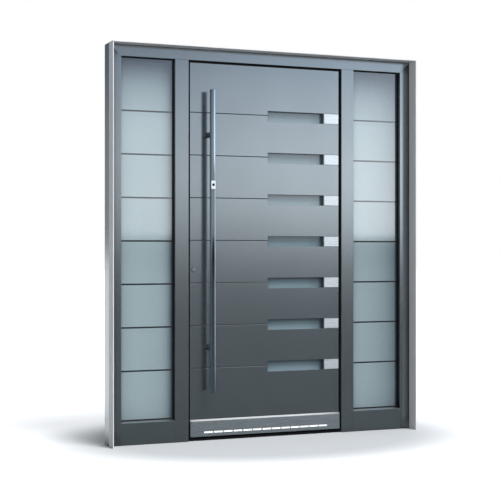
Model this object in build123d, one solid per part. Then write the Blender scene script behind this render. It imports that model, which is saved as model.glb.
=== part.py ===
"""Front door set: an inward-opening leaf between two glazed sidelights in one aluminium frame.

Millimetres, +Z up, +X to the right seen from outside, +Y into the house.
The origin is on the floor, at the middle of the frame's width and depth.
"""
import os

from build123d import *

# Outer frame, mullions and sidelight rails
FRAME_WIDTH = 1954.0
FRAME_HEIGHT = 2302.0
FRAME_DEPTH = 90.0
FRAME_FACE = 72.0
MULLION_FACE = 83.0
SIDELIGHT_WIDTH = 325.0
SILL_FACE = 128.0
SILL_SLOPE = 9.0
LIP_DEPTH = 30.0
REBATE = 15.0
PROFILE_WALL = 2.5
BREAK_DEPTH = 17.0
EDGE_ROUND = 1.5

# Fixing holes through the jambs
FIXING_BORE = 8.0
FIXING_BACK = 15.0
FIXING_INSET = 150.0
FIXING_ROWS = 4

# Threshold under the leaf
THRESHOLD_HEIGHT = 18.0
THRESHOLD_SETBACK = 14.0
THRESHOLD_BEVEL = 7.0

# Surround that stands out in front of the frame
SURROUND_REACH = 82.0
SURROUND_SHEET = 5.0

# Sidelight glazing units
PANE_LAP = 12.0
PANE_SHEET = 6.0
PANE_CAVITY = 16.0
GASKET_SHEET = 3.0
GASKET_SHOW = 5.0
SPACER_INSET = 2.0
SPACER_WIDTH = 7.0
LINE_HEIGHT = 9.5
SATIN_SHEET = 0.8

# Leaf envelope
LEAF_GAP = 12.5
LEAF_RECESS = 14.0
LEAF_BOTTOM = 25.0
SEAL_SPACE = 6.0
REBATE_GAP = 6.0
RUN_GAP = 0.5

# Leaf construction
OUTER_SHEET = 4.0
TRAY_WALL = 3.0
INNER_SHEET = 4.0
STILE_FACE = 60.0
STILE_WALL = 3.0
SEAL_MARGIN = 1.0
SWEEP_WIDTH = 20.0

# Grooves, slot windows and steel inlays of the outer panel
BAND_COUNT = 7
BOTTOM_BAND = 301.0
TOP_BAND = 290.0
MIDDLE_DROP = 4.5
GROOVE_WIDTH = 5.5
GROOVE_DEPTH = 2.5
SLOT_LENGTH = 372.0
SLOT_HEIGHT = 63.0
SLOT_RECESS = 30.0
SLOT_GLASS = 24.0
SLOT_GLASS_LAP = 8.0
COLLAR_WALL = 2.5
INLAY_WIDTH = 102.0
INLAY_SHEET = 3.0
INLAY_GAP = 2.0
INLAY_POCKET = 2.5

# Kick plate with its row of light slots
KICK_HEIGHT = 100.0
KICK_DEPTH = 12.0
KICK_SHEET = 2.0
KICK_BEVEL = 9.0
KICK_SLOT_LENGTH = 55.0
KICK_SLOT_HEIGHT = 10.0
KICK_SLOT_PITCH = 62.0
KICK_SLOT_MARGIN = 80.0
KICK_SLOT_RISE = 25.0
DIFFUSER_DEPTH = 5.0
DIFFUSER_MARGIN = 4.0

# Pull bar with its finger reader
BAR_DIAMETER = 35.0
BAR_LENGTH = 1768.0
BAR_STANDOFF = 70.0
BAR_INSET = 117.0
BAR_CHAMFER = 1.5
POST_DIAMETER = 30.0
POST_INSET = 260.0
STUD_DIAMETER = 10.0
STUD_LENGTH = 34.0
READER_WIDTH = 26.0
READER_HEIGHT = 48.0
READER_DEPTH = 5.0
READER_PROUD = 1.2
READER_DROP = 556.0
READER_CORNER = 3.0
READER_EYE = 13.0
READER_EYE_DEPTH = 3.0

# Lock and its inside furniture
LOCK_HEIGHT = 1006.0
LOCK_INSET = 24.5
CYLINDER_DIAMETER = 20.0
PLUG_DIAMETER = 13.0
PLUG_FIT = 0.05
KEYWAY_WIDTH = 2.4
KEYWAY_HEIGHT = 8.0
KEYWAY_DEPTH = 22.0
ROSETTE_DIAMETER = 29.0
ROSETTE_DEPTH = 5.0
ROSETTE_CHAMFER = 1.5
CASE_DEPTH = 52.0
CASE_THICK = 18.0
CASE_MARGIN = 36.0
FACEPLATE_WIDTH = 22.0
FACEPLATE_INSET = 200.0
DEAD_BOLT_DROP = 36.0
DEAD_BOLT_HEIGHT = 30.0
SIDE_BOLT_INSET = 150.0
SIDE_BOLT_HEIGHT = 24.0
SIDE_CASE_HEIGHT = 90.0
LATCH_RISE = 34.0
LATCH_HEIGHT = 26.0
BOLT_THICK = 12.0
BOLT_LENGTH = 26.0
BOLT_THROW = 20.0
BOLT_CLEARANCE = 0.4
LATCH_BEVEL = 8.0
STRIKE_SHEET = 2.0
STRIKE_MARGIN = 22.0
STRIKE_CLEARANCE = 1.5

# Lever handle, escutcheon and thumb turn on the inside
LEVER_RISE = 72.0
LEVER_DIAMETER = 18.0
LEVER_REACH = 52.0
LEVER_LENGTH = 128.0
LEVER_FIT = 0.05
SPINDLE_SIDE = 8.0
SPINDLE_CLEARANCE = 0.4
ESCUTCHEON_WIDTH = 38.0
ESCUTCHEON_DEPTH = 8.0
ESCUTCHEON_FLOOR = 2.5
ESCUTCHEON_MARGIN = 34.0
ESCUTCHEON_CORNER = 12.0
THUMB_GAP = 1.0
THUMB_DIAMETER = 24.0
THUMB_BASE = 6.0
THUMB_GRIP_WIDTH = 7.0
THUMB_GRIP_DEPTH = 14.0
THUMB_GRIP_ROUND = 4.0

# Barrel hinges on the inside
HINGE_COUNT = 3
HINGE_INSET = 230.0
HINGE_LENGTH = 120.0
KNUCKLE_DIAMETER = 20.0
KNUCKLE_GAP = 1.0
KNUCKLE_SHARES = (0.0, 0.34, 0.66, 1.0)
FLAP_WIDTH = 46.0
FLAP_SHEET = 4.0
PIN_DIAMETER = 10.0
PIN_FIT = 0.05
PIN_HEAD = 4.0

# Allowance by which a cut passes the face that it opens
OVERRUN = 1.0

# Depths, counted from the outer face of the frame
outer_y = -FRAME_DEPTH / 2
inner_y = FRAME_DEPTH / 2
lip_y = outer_y + LIP_DEPTH
leaf_y = outer_y + LEAF_RECESS
shoulder_y = lip_y + SEAL_SPACE
sheet_y = inner_y - INNER_SHEET
glass_y = leaf_y + SLOT_RECESS
glass_back_y = glass_y + SLOT_GLASS
pane_y = lip_y + GASKET_SHEET
cavity_y = pane_y + PANE_SHEET
inner_pane_y = cavity_y + PANE_CAVITY
unit_back_y = inner_pane_y + PANE_SHEET
bead_y = unit_back_y + GASKET_SHEET
bar_y = leaf_y - BAR_STANDOFF
lock_y = (shoulder_y + sheet_y) / 2
hinge_y = inner_y + KNUCKLE_DIAMETER / 2 + KNUCKLE_GAP

# Widths, counted from the middle of the frame
frame_half = FRAME_WIDTH / 2
side_outer_x = frame_half - FRAME_FACE
side_inner_x = side_outer_x - SIDELIGHT_WIDTH
mullion_x = side_inner_x - MULLION_FACE / 2
opening_half = side_inner_x - MULLION_FACE
rebate_half = opening_half + REBATE
leaf_half = opening_half - LEAF_GAP
wide_half = rebate_half - REBATE_GAP
slot_right = leaf_half - INLAY_WIDTH
slot_left = slot_right - SLOT_LENGTH
bar_x = -leaf_half + BAR_INSET
lock_x = -leaf_half + LOCK_INSET
hinge_x = (rebate_half + wide_half) / 2
faceplate_x = -wide_half
case_x = faceplate_x + STILE_WALL

# Heights
head_z = FRAME_HEIGHT - FRAME_FACE
head_rebate_z = head_z + REBATE
sill_top = SILL_FACE + SILL_SLOPE
leaf_top = head_z - LEAF_GAP
wide_top = head_rebate_z - REBATE_GAP
kick_top = LEAF_BOTTOM + KICK_HEIGHT
band_low = kick_top + BOTTOM_BAND
band_pitch = (leaf_top - TOP_BAND - band_low) / (BAND_COUNT - 1)
band_heights = [band_low + band_pitch * step for step in range(BAND_COUNT)]
middle_heights = [height - MIDDLE_DROP for height in band_heights]
bar_mid = (middle_heights[0] + middle_heights[-1]) / 2
bar_low = bar_mid - BAR_LENGTH / 2
bar_high = bar_mid + BAR_LENGTH / 2
post_heights = (bar_low + POST_INSET, bar_high - POST_INSET)
reader_z = bar_high - READER_DROP
lever_z = LOCK_HEIGHT + LEVER_RISE
latch_z = lever_z + LATCH_RISE
dead_bolt_z = LOCK_HEIGHT + DEAD_BOLT_DROP
faceplate_low = LEAF_BOTTOM + FACEPLATE_INSET
faceplate_high = wide_top - FACEPLATE_INSET
side_bolt_heights = (faceplate_low + SIDE_BOLT_INSET, faceplate_high - SIDE_BOLT_INSET)
hinge_span = wide_top - LEAF_BOTTOM - 2 * HINGE_INSET
hinge_heights = [
    LEAF_BOTTOM + HINGE_INSET + hinge_span * step / (HINGE_COUNT - 1) for step in range(HINGE_COUNT)
]


def block(x0, x1, y0, y1, z0, z1):
    """A box between two places on each axis."""
    middle = Pos((x0 + x1) / 2, (y0 + y1) / 2, (z0 + z1) / 2)
    return middle * Box(x1 - x0, y1 - y0, z1 - z0)


def rod_x(x0, x1, y, z, diameter):
    """A round rod along X."""
    return Pos((x0 + x1) / 2, y, z) * Rot(0, 90, 0) * Cylinder(diameter / 2, x1 - x0)


def rod_y(x, y0, y1, z, diameter):
    """A round rod along Y."""
    return Pos(x, (y0 + y1) / 2, z) * Rot(90, 0, 0) * Cylinder(diameter / 2, y1 - y0)


def rod_z(x, y, z0, z1, diameter):
    """A round rod along Z."""
    return Pos(x, y, (z0 + z1) / 2) * Cylinder(diameter / 2, z1 - z0)


def slab(points, y0, y1):
    """A flat outline, drawn in X and Z, given thickness along Y."""
    return extrude(Plane.XZ.offset(-y0) * Polygon(*points, align=None), amount=y1 - y0, dir=(0, 1, 0))


def length_x(points, x0, x1):
    """A section, drawn in Y and Z, run along X."""
    return extrude(Plane.YZ.offset(x0) * Polygon(*points, align=None), amount=x1 - x0, dir=(1, 0, 0))


def window(x0, x1, y0, y1, z0, z1, border):
    """A rectangular ring: the opening's sides and the border around it."""
    outside = block(x0 - border, x1 + border, y0, y1, z0 - border, z1 + border)
    return outside - block(x0, x1, y0 - OVERRUN, y1 + OVERRUN, z0, z1)


def mirrored(part):
    """The same piece on the other side of the frame's middle."""
    return mirror(part, about=Plane.YZ)


def profile(outline, chambers):
    """A hollow bar's section: u across the face, v into the depth, front corners rounded."""
    section = Polygon(*outline, align=None)
    section = fillet(section.vertices().group_by(Axis.Y)[0], EDGE_ROUND)
    for u0, u1, v0, v1 in chambers:
        section -= Pos((u0 + u1) / 2, (v0 + v1) / 2) * Rectangle(u1 - u0, v1 - v0)
    return section


def member(section, start, across, length):
    """Run a section from its start corner, with u along the direction across."""
    run = Vector(*across).cross(Vector(0, 1, 0))
    plane = Plane(origin=start, x_dir=across, z_dir=run)
    return extrude(plane * section, amount=length, dir=run)


def mitred_ring(section, x0, x1, z0, z1, face, y0, y1, closed):
    """The bars of a rectangular frame, cut at 45 degrees where they meet."""
    foot = face if closed else 0
    bars = {
        "left": member(section, (x0, y0, z0), (1, 0, 0), z1 - z0),
        "right": member(section, (x1, y0, z1), (-1, 0, 0), z1 - z0),
        "top": member(section, (x0, y0, z1), (0, 0, -1), x1 - x0),
    }
    shapes = {
        "left": [(x0, z0), (x0 + face, z0 + foot), (x0 + face, z1 - face), (x0, z1)],
        "right": [(x1, z0), (x1 - face, z0 + foot), (x1 - face, z1 - face), (x1, z1)],
        "top": [(x0, z1), (x0 + face, z1 - face), (x1 - face, z1 - face), (x1, z1)],
    }
    if closed:
        bars["bottom"] = member(section, (x1, y0, z0), (0, 0, 1), x1 - x0)
        shapes["bottom"] = [(x0, z0), (x0 + face, z0 + face), (x1 - face, z0 + face), (x1, z0)]
    return {side: bars[side] & slab(shapes[side], y0 - OVERRUN, y1 + OVERRUN) for side in bars}


def frame_section():
    """Outer frame bar: a lip in front, a rebate behind it and three chambers."""
    back = FRAME_FACE - REBATE
    outline = [
        (0, 0), (FRAME_FACE, 0), (FRAME_FACE, LIP_DEPTH),
        (back, LIP_DEPTH), (back, FRAME_DEPTH), (0, FRAME_DEPTH),
    ]
    rows = chamber_rows(PROFILE_WALL, FRAME_FACE - PROFILE_WALL, PROFILE_WALL, back - PROFILE_WALL)
    return profile(outline, rows)


def mullion_section():
    """Mullion bar: a lip on both sides in front of the two rebates."""
    lip = MULLION_FACE / 2
    back = lip - REBATE
    outline = [
        (-lip, 0), (lip, 0), (lip, LIP_DEPTH), (back, LIP_DEPTH),
        (back, FRAME_DEPTH), (-back, FRAME_DEPTH), (-back, LIP_DEPTH), (-lip, LIP_DEPTH),
    ]
    rows = chamber_rows(PROFILE_WALL - lip, lip - PROFILE_WALL, PROFILE_WALL - back, back - PROFILE_WALL)
    return profile(outline, rows)


def sill_section():
    """Bottom rail of a sidelight: a taller bar whose lip slopes up to the glass."""
    back = sill_top - REBATE
    outline = [
        (0, 0), (SILL_FACE, 0), (sill_top, LIP_DEPTH),
        (back, LIP_DEPTH), (back, FRAME_DEPTH), (0, FRAME_DEPTH),
    ]
    rows = chamber_rows(PROFILE_WALL, SILL_FACE - PROFILE_WALL, PROFILE_WALL, back - PROFILE_WALL)
    return profile(outline, rows)


def chamber_rows(lip_u0, lip_u1, back_u0, back_u1):
    """Outer chamber, insulating chamber and inner chamber, one behind the other."""
    break_end = LIP_DEPTH + BREAK_DEPTH
    return [
        (lip_u0, lip_u1, PROFILE_WALL, LIP_DEPTH - PROFILE_WALL),
        (back_u0, back_u1, LIP_DEPTH, break_end),
        (back_u0, back_u1, break_end + PROFILE_WALL, FRAME_DEPTH - PROFILE_WALL),
    ]


def outer_frame():
    """Jambs and head, mitred, with fixing holes through the jambs."""
    bars = mitred_ring(
        frame_section(), -frame_half, frame_half, 0, FRAME_HEIGHT, FRAME_FACE, outer_y, inner_y, False
    )
    span = FRAME_HEIGHT - 2 * FIXING_INSET
    for row in range(FIXING_ROWS):
        height = FIXING_INSET + span * row / (FIXING_ROWS - 1)
        reach = frame_half + OVERRUN
        hole = rod_x(-reach, reach, inner_y - FIXING_BACK, height, FIXING_BORE)
        bars["left"] -= hole
        bars["right"] -= hole
    return {
        "frame_jamb_left": bars["left"],
        "frame_jamb_right": bars["right"],
        "frame_head": bars["top"],
    }


def mullions():
    """Uprights beside the leaf, notched over the head's lip, the left one pierced for the bolts."""
    section = mullion_section()
    right = member(section, (mullion_x, outer_y, 0), (1, 0, 0), head_rebate_z)
    notch_half = MULLION_FACE / 2 + OVERRUN
    right -= block(
        mullion_x - notch_half, mullion_x + notch_half,
        outer_y - OVERRUN, lip_y, head_z, head_rebate_z + OVERRUN,
    )
    left = mirrored(right)
    for height, tall in bolt_places():
        left -= bolt_hole(height, tall)
    return {"mullion_left": left, "mullion_right": right}


def bolt_places():
    """Height and size of every bolt that enters the left mullion."""
    places = [(latch_z, LATCH_HEIGHT), (dead_bolt_z, DEAD_BOLT_HEIGHT)]
    places += [(height, SIDE_BOLT_HEIGHT) for height in side_bolt_heights]
    return places


def bolt_hole(height, tall):
    """Opening in the mullion's wall and strike plate for one bolt."""
    half_thick = BOLT_THICK / 2 + STRIKE_CLEARANCE
    half_tall = tall / 2 + STRIKE_CLEARANCE
    depth = PROFILE_WALL + OVERRUN
    return block(
        -rebate_half - depth, -rebate_half + STRIKE_SHEET + OVERRUN,
        lock_y - half_thick, lock_y + half_thick, height - half_tall, height + half_tall,
    )


def sill_rails():
    """Bottom rails of the sidelights, let into the rebates of the uprights."""
    near = side_inner_x - REBATE
    far = side_outer_x + REBATE
    right = member(sill_section(), (far, outer_y, 0), (0, 0, 1), far - near)
    for x0, x1 in ((near - OVERRUN, side_inner_x), (side_outer_x, far + OVERRUN)):
        right -= block(x0, x1, outer_y - OVERRUN, lip_y, -OVERRUN, sill_top + OVERRUN)
    return {"sill_rail_left": mirrored(right), "sill_rail_right": right}


def threshold():
    """Low sill under the leaf with a sloping nose."""
    nose_y = outer_y + THRESHOLD_SETBACK
    section = [
        (nose_y, 0), (lip_y, 0), (lip_y, THRESHOLD_HEIGHT),
        (nose_y + THRESHOLD_BEVEL, THRESHOLD_HEIGHT), (nose_y, THRESHOLD_HEIGHT - THRESHOLD_BEVEL),
    ]
    nose = length_x(section, -opening_half, opening_half)
    base = block(-rebate_half, rebate_half, lip_y, inner_y, 0, THRESHOLD_HEIGHT)
    return {"threshold": nose + base}


def surround():
    """Flat bars that stand out in front of the frame at its head and sides."""
    front = outer_y - SURROUND_REACH
    section = Polygon(
        (0, 0), (SURROUND_SHEET, 0), (SURROUND_SHEET, SURROUND_REACH), (0, SURROUND_REACH), align=None
    )
    bars = mitred_ring(
        section, -frame_half, frame_half, 0, FRAME_HEIGHT, SURROUND_SHEET, front, outer_y, False
    )
    return {"surround_left": bars["left"], "surround_right": bars["right"], "surround_head": bars["top"]}


def sidelight_span(lap):
    """Sides of a sidelight's opening, made larger by the lap."""
    return side_inner_x - lap, side_outer_x + lap, sill_top - lap, head_z + lap


def sidelight_ring(lap, border, y0, y1):
    """A ring around a sidelight, its opening set back from the sight line by the lap."""
    x0, x1, z0, z1 = sidelight_span(lap)
    return window(x0, x1, y0, y1, z0, z1, border)


def sidelight_pane(y0):
    """One pane of a sidelight's glazing unit."""
    x0, x1, z0, z1 = sidelight_span(PANE_LAP)
    return block(x0, x1, y0, y0 + PANE_SHEET, z0, z1)


def satin_fields():
    """Satin fields on the outer face of a pane, with a clear line level with each of the leaf's slots."""
    x0, x1, z0, z1 = sidelight_span(-GASKET_SHOW)
    half = LINE_HEIGHT / 2
    lows = [z0] + [height + half for height in middle_heights]
    highs = [height - half for height in middle_heights] + [z1]
    return [block(x0, x1, pane_y - SATIN_SHEET, pane_y, low, high) for low, high in zip(lows, highs)]


def glazing_beads():
    """Snap-in beads that hold the unit from inside: two uprights and two between them."""
    x0, x1, z0, z1 = sidelight_span(0)
    beads = []
    for low, high in ((x0 - REBATE, x0), (x1, x1 + REBATE)):
        beads.append(block(low, high, bead_y, inner_y, z0 - REBATE, z1 + REBATE))
    for low, high in ((z0 - REBATE, z0), (z1, z1 + REBATE)):
        beads.append(block(x0, x1, bead_y, inner_y, low, high))
    return beads


def grouped(pieces):
    """Separate solids that share one name."""
    return Compound(children=[piece.solid() for piece in pieces])


def both_sides(pieces):
    """Pieces of the right sidelight and their mirror images."""
    return grouped(pieces + [mirrored(piece) for piece in pieces])


def sidelights():
    """Two sealed units with their satin fields, gaskets, spacers and beads."""
    outer_pane = sidelight_pane(pane_y)
    fields = satin_fields()
    border = PANE_LAP + GASKET_SHOW
    gaskets = [
        sidelight_ring(-GASKET_SHOW, border, lip_y, pane_y),
        sidelight_ring(0, PANE_LAP, unit_back_y, bead_y),
    ]
    return {
        "outer_pane_left": mirrored(outer_pane),
        "outer_pane_right": outer_pane,
        "inner_panes": both_sides([sidelight_pane(inner_pane_y)]),
        "satin_fields_left": grouped([mirrored(field) for field in fields]),
        "satin_fields_right": grouped(fields),
        "pane_spacers": both_sides([sidelight_ring(SPACER_INSET, SPACER_WIDTH, cavity_y, inner_pane_y)]),
        "pane_gaskets": both_sides(gaskets),
        "glazing_beads": both_sides(glazing_beads()),
    }


def slot_heights(height):
    """Bottom and top of the slot window that belongs to a groove."""
    middle = height - MIDDLE_DROP
    return middle - SLOT_HEIGHT / 2, middle + SLOT_HEIGHT / 2


def outer_panel():
    """Folded outer tray with grooves, collared slot windows and shallow inlay pockets."""
    panel = block(-leaf_half, leaf_half, leaf_y, shoulder_y, LEAF_BOTTOM, leaf_top)
    panel = fillet(panel.edges().filter_by(Axis.Z).group_by(Axis.Y)[0], EDGE_ROUND)
    panel -= block(
        TRAY_WALL - leaf_half, leaf_half - TRAY_WALL, leaf_y + OUTER_SHEET, shoulder_y + OVERRUN,
        LEAF_BOTTOM + TRAY_WALL, leaf_top - TRAY_WALL,
    )
    for height in band_heights:
        low, high = slot_heights(height)
        panel -= block(slot_left, slot_right, leaf_y - OVERRUN, glass_y, low, high)
        panel += window(slot_left, slot_right, leaf_y + OUTER_SHEET, glass_y, low, high, COLLAR_WALL)
        panel -= block(
            slot_right + COLLAR_WALL, leaf_half + OVERRUN, leaf_y - OVERRUN, leaf_y + INLAY_POCKET, low, high
        )
        half = GROOVE_WIDTH / 2
        groove = [(leaf_y, height - half), (leaf_y, height + half), (leaf_y + GROOVE_DEPTH, height)]
        panel -= length_x(groove, -leaf_half - OVERRUN, slot_left)
    panel -= leaf_bores(leaf_y - OVERRUN, shoulder_y)
    return panel


def leaf_bores(y0, y1):
    """Holes through the leaf for the lock cylinder and the pull bar's studs."""
    holes = rod_y(lock_x, y0, y1, LOCK_HEIGHT, CYLINDER_DIAMETER)
    stud_end = min(y1, leaf_y + STUD_LENGTH)
    for height in post_heights:
        holes += rod_y(bar_x, y0, stud_end, height, STUD_DIAMETER)
    return holes


def slot_glass(height):
    """Sealed glass strip held between the outer and inner collars of a slot."""
    low, high = slot_heights(height)
    lap = SLOT_GLASS_LAP
    return block(slot_left - lap, slot_right + lap, glass_y, glass_back_y, low - lap, high + lap)


def steel_inlay(height):
    """Steel plate in its shallow pocket between a slot and the leaf's edge."""
    low, high = slot_heights(height)
    left = slot_right + COLLAR_WALL + INLAY_GAP
    right = leaf_half - EDGE_ROUND
    face = leaf_y + INLAY_POCKET - INLAY_SHEET
    plate = block(left, right, face, leaf_y + INLAY_POCKET, low + INLAY_GAP, high - INLAY_GAP)
    return plate


def insulation_core():
    """Foam between the two skins, cut out around the glass strips and the lock cylinder."""
    tray = block(
        TRAY_WALL - leaf_half, leaf_half - TRAY_WALL, leaf_y + OUTER_SHEET, shoulder_y,
        LEAF_BOTTOM + TRAY_WALL, leaf_top - TRAY_WALL,
    )
    ring_half = wide_half - STILE_FACE
    core = tray + block(
        -ring_half, ring_half, shoulder_y, sheet_y, LEAF_BOTTOM + STILE_FACE, wide_top - STILE_FACE
    )
    for height in band_heights:
        low, high = slot_heights(height)
        lap = SLOT_GLASS_LAP
        core -= block(
            slot_left - lap, slot_right + lap, leaf_y, sheet_y + OVERRUN, low - lap, high + lap
        )
    return core - leaf_bores(leaf_y, sheet_y)


def inner_panel():
    """Flat inner skin with collars that reach back to the glass strips."""
    panel = block(-wide_half, wide_half, sheet_y, inner_y, LEAF_BOTTOM, wide_top)
    for height in band_heights:
        low, high = slot_heights(height)
        panel -= block(slot_left, slot_right, sheet_y - OVERRUN, inner_y + OVERRUN, low, high)
        panel += window(slot_left, slot_right, glass_back_y, sheet_y, low, high, COLLAR_WALL)
    panel -= rod_y(lock_x, sheet_y - OVERRUN, inner_y + OVERRUN, LOCK_HEIGHT, CYLINDER_DIAMETER)
    panel -= rod_y(lock_x, sheet_y - OVERRUN, inner_y + OVERRUN, lever_z, spindle_bore())
    return panel


def spindle_bore():
    """Round hole that lets the square spindle turn."""
    return SPINDLE_SIDE * 2 ** 0.5 + 2 * SPINDLE_CLEARANCE


def leaf_frame():
    """Mitred hollow bars around the core, the lock stile opened for the lock."""
    depth = sheet_y - shoulder_y
    outline = [(0, 0), (STILE_FACE, 0), (STILE_FACE, depth), (0, depth)]
    hollow = (STILE_WALL, STILE_FACE - STILE_WALL, STILE_WALL, depth - STILE_WALL)
    bars = mitred_ring(
        profile(outline, [hollow]), -wide_half, wide_half, LEAF_BOTTOM, wide_top, STILE_FACE,
        shoulder_y, sheet_y, True,
    )
    half = FACEPLATE_WIDTH / 2
    lock_stile = bars["left"] - block(
        faceplate_x - OVERRUN, case_x, lock_y - half, lock_y + half, faceplate_low, faceplate_high
    )
    lock_stile -= rod_y(lock_x, shoulder_y - OVERRUN, sheet_y + OVERRUN, LOCK_HEIGHT, CYLINDER_DIAMETER)
    lock_stile -= rod_y(lock_x, lock_y, sheet_y + OVERRUN, lever_z, spindle_bore())
    return {
        "stile_lock": lock_stile,
        "stile_hinge": bars["right"],
        "rail_top": bars["top"],
        "rail_bottom": bars["bottom"],
    }


def leaf_seals():
    """Rubber strip round the leaf's shoulder and the sweep under its bottom edge."""
    front = lip_y + RUN_GAP
    edge = wide_half - SEAL_MARGIN
    top = wide_top - SEAL_MARGIN
    strip = block(-edge, edge, front, shoulder_y, LEAF_BOTTOM, top)
    strip -= block(
        -leaf_half, leaf_half, front - OVERRUN, shoulder_y + OVERRUN, LEAF_BOTTOM - OVERRUN, leaf_top
    )
    half = SWEEP_WIDTH / 2
    sweep = block(
        -wide_half, wide_half, lock_y - half, lock_y + half, THRESHOLD_HEIGHT + RUN_GAP, LEAF_BOTTOM
    )
    return grouped([strip, sweep])


def kick_slot_places():
    """Middle of every light slot along the kick plate."""
    room = 2 * (leaf_half - KICK_SLOT_MARGIN) - KICK_SLOT_LENGTH
    steps = int(room // KICK_SLOT_PITCH)
    return [KICK_SLOT_PITCH * (step - steps / 2) for step in range(steps + 1)]


def kick_plate():
    """Folded steel plate with a sloping top edge and a row of light slots."""
    front = leaf_y - KICK_DEPTH
    shelf = leaf_y - KICK_SHEET
    section = [
        (leaf_y, LEAF_BOTTOM), (front, LEAF_BOTTOM), (front, kick_top - KICK_BEVEL),
        (shelf, kick_top), (leaf_y, kick_top),
    ]
    plate = length_x(section, -leaf_half, leaf_half)
    plate -= block(
        KICK_SHEET - leaf_half, leaf_half - KICK_SHEET, front + KICK_SHEET, leaf_y + OVERRUN,
        LEAF_BOTTOM + KICK_SHEET, kick_top - KICK_BEVEL - KICK_SHEET,
    )
    middle = LEAF_BOTTOM + KICK_SLOT_RISE
    half_length = KICK_SLOT_LENGTH / 2
    half_height = KICK_SLOT_HEIGHT / 2
    for place in kick_slot_places():
        plate -= block(
            place - half_length, place + half_length, front - OVERRUN, front + KICK_SHEET + OVERRUN,
            middle - half_height, middle + half_height,
        )
    return plate


def kick_light_strip():
    """Opal strip that closes the light slots from behind."""
    places = kick_slot_places()
    reach = KICK_SLOT_LENGTH / 2 + DIFFUSER_MARGIN
    back = leaf_y - KICK_DEPTH + KICK_SHEET
    half = KICK_SLOT_HEIGHT / 2 + DIFFUSER_MARGIN
    middle = LEAF_BOTTOM + KICK_SLOT_RISE
    return block(
        places[0] - reach, places[-1] + reach, back, back + DIFFUSER_DEPTH, middle - half, middle + half
    )


def bar_solid():
    """The pull bar's plain round length."""
    return rod_z(bar_x, bar_y, bar_low, bar_high, BAR_DIAMETER)


def reader_flat():
    """Distance of the reader's pocket floor from the bar's axis."""
    half_chord = READER_WIDTH / 2
    return (BAR_DIAMETER ** 2 / 4 - half_chord ** 2) ** 0.5 + READER_PROUD - READER_DEPTH


def reader_outline(y0, y1):
    """Rounded plate outline of the finger reader."""
    at = Plane(origin=(bar_x, y0, reader_z), x_dir=(1, 0, 0), z_dir=(0, 1, 0))
    return extrude(at * RectangleRounded(READER_WIDTH, READER_HEIGHT, READER_CORNER), amount=y1 - y0)


def pull_bar():
    """Round bar with chamfered ends and a milled pocket for the finger reader."""
    bar = bar_solid()
    bar = chamfer(bar.edges().filter_by(GeomType.CIRCLE), BAR_CHAMFER)
    return bar - reader_outline(bar_y - BAR_DIAMETER, bar_y - reader_flat())


def finger_reader():
    """Reader plate set into the bar, with its round eye and black window."""
    floor = bar_y - reader_flat()
    face = floor - READER_DEPTH
    plate = reader_outline(face, floor)
    eye = rod_y(bar_x, face - OVERRUN, face + READER_EYE_DEPTH, reader_z, READER_EYE)
    window_disc = rod_y(bar_x, face + OVERRUN, face + READER_EYE_DEPTH, reader_z, READER_EYE)
    return {"finger_reader": plate - eye, "reader_window": window_disc}


def pull_bar_posts():
    """Posts between bar and leaf, saddled to the bar, each with its stud into the leaf."""
    posts = []
    for height in post_heights:
        post = rod_y(bar_x, bar_y, leaf_y, height, POST_DIAMETER) - bar_solid()
        post += rod_y(bar_x, leaf_y, leaf_y + STUD_LENGTH, height, STUD_DIAMETER)
        posts.append(post)
    return grouped(posts)


def lock_cylinder():
    """Round cylinder through the leaf, its rosette outside and the turning plug inside it."""
    front = leaf_y - ROSETTE_DEPTH
    back = inner_y + ESCUTCHEON_DEPTH
    bore = PLUG_DIAMETER + 2 * PLUG_FIT
    tube = rod_y(lock_x, front, back, LOCK_HEIGHT, CYLINDER_DIAMETER)
    tube -= rod_y(lock_x, front - OVERRUN, back + OVERRUN, LOCK_HEIGHT, bore)
    ring = rod_y(lock_x, front, leaf_y, LOCK_HEIGHT, ROSETTE_DIAMETER)
    ring = chamfer(ring.edges().filter_by(GeomType.CIRCLE).group_by(Axis.Y)[0], ROSETTE_CHAMFER)
    ring -= rod_y(lock_x, front - OVERRUN, leaf_y + OVERRUN, LOCK_HEIGHT, CYLINDER_DIAMETER)
    return {"lock_cylinder": tube, "cylinder_rosette": ring}


def key_plug():
    """Plug with the keyway at its outer end and the thumb turn at its inner end."""
    front = leaf_y - ROSETTE_DEPTH
    base = inner_y + ESCUTCHEON_DEPTH + THUMB_GAP
    crown = base + THUMB_BASE
    plug = rod_y(lock_x, front, base, LOCK_HEIGHT, PLUG_DIAMETER)
    plug += rod_y(lock_x, base, crown, LOCK_HEIGHT, THUMB_DIAMETER)
    grip = block(
        lock_x - THUMB_GRIP_WIDTH / 2, lock_x + THUMB_GRIP_WIDTH / 2, crown, crown + THUMB_GRIP_DEPTH,
        LOCK_HEIGHT - THUMB_DIAMETER / 2, LOCK_HEIGHT + THUMB_DIAMETER / 2,
    )
    grip = fillet(grip.edges().filter_by(Axis.X), THUMB_GRIP_ROUND)
    plug += grip & rod_y(lock_x, crown, crown + THUMB_GRIP_DEPTH, LOCK_HEIGHT, THUMB_DIAMETER)
    keyway = block(
        lock_x - KEYWAY_WIDTH / 2, lock_x + KEYWAY_WIDTH / 2, front - OVERRUN, front + KEYWAY_DEPTH,
        LOCK_HEIGHT - KEYWAY_HEIGHT / 2, LOCK_HEIGHT + KEYWAY_HEIGHT / 2,
    )
    return plug - keyway


def bolt_body(height, tall, clearance):
    """A bolt drawn back behind the faceplate, or the pocket that it runs in."""
    half_thick = BOLT_THICK / 2 + clearance
    half_tall = tall / 2 + clearance
    return block(
        faceplate_x, faceplate_x + BOLT_LENGTH + clearance,
        lock_y - half_thick, lock_y + half_thick, height - half_tall, height + half_tall,
    )


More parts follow.
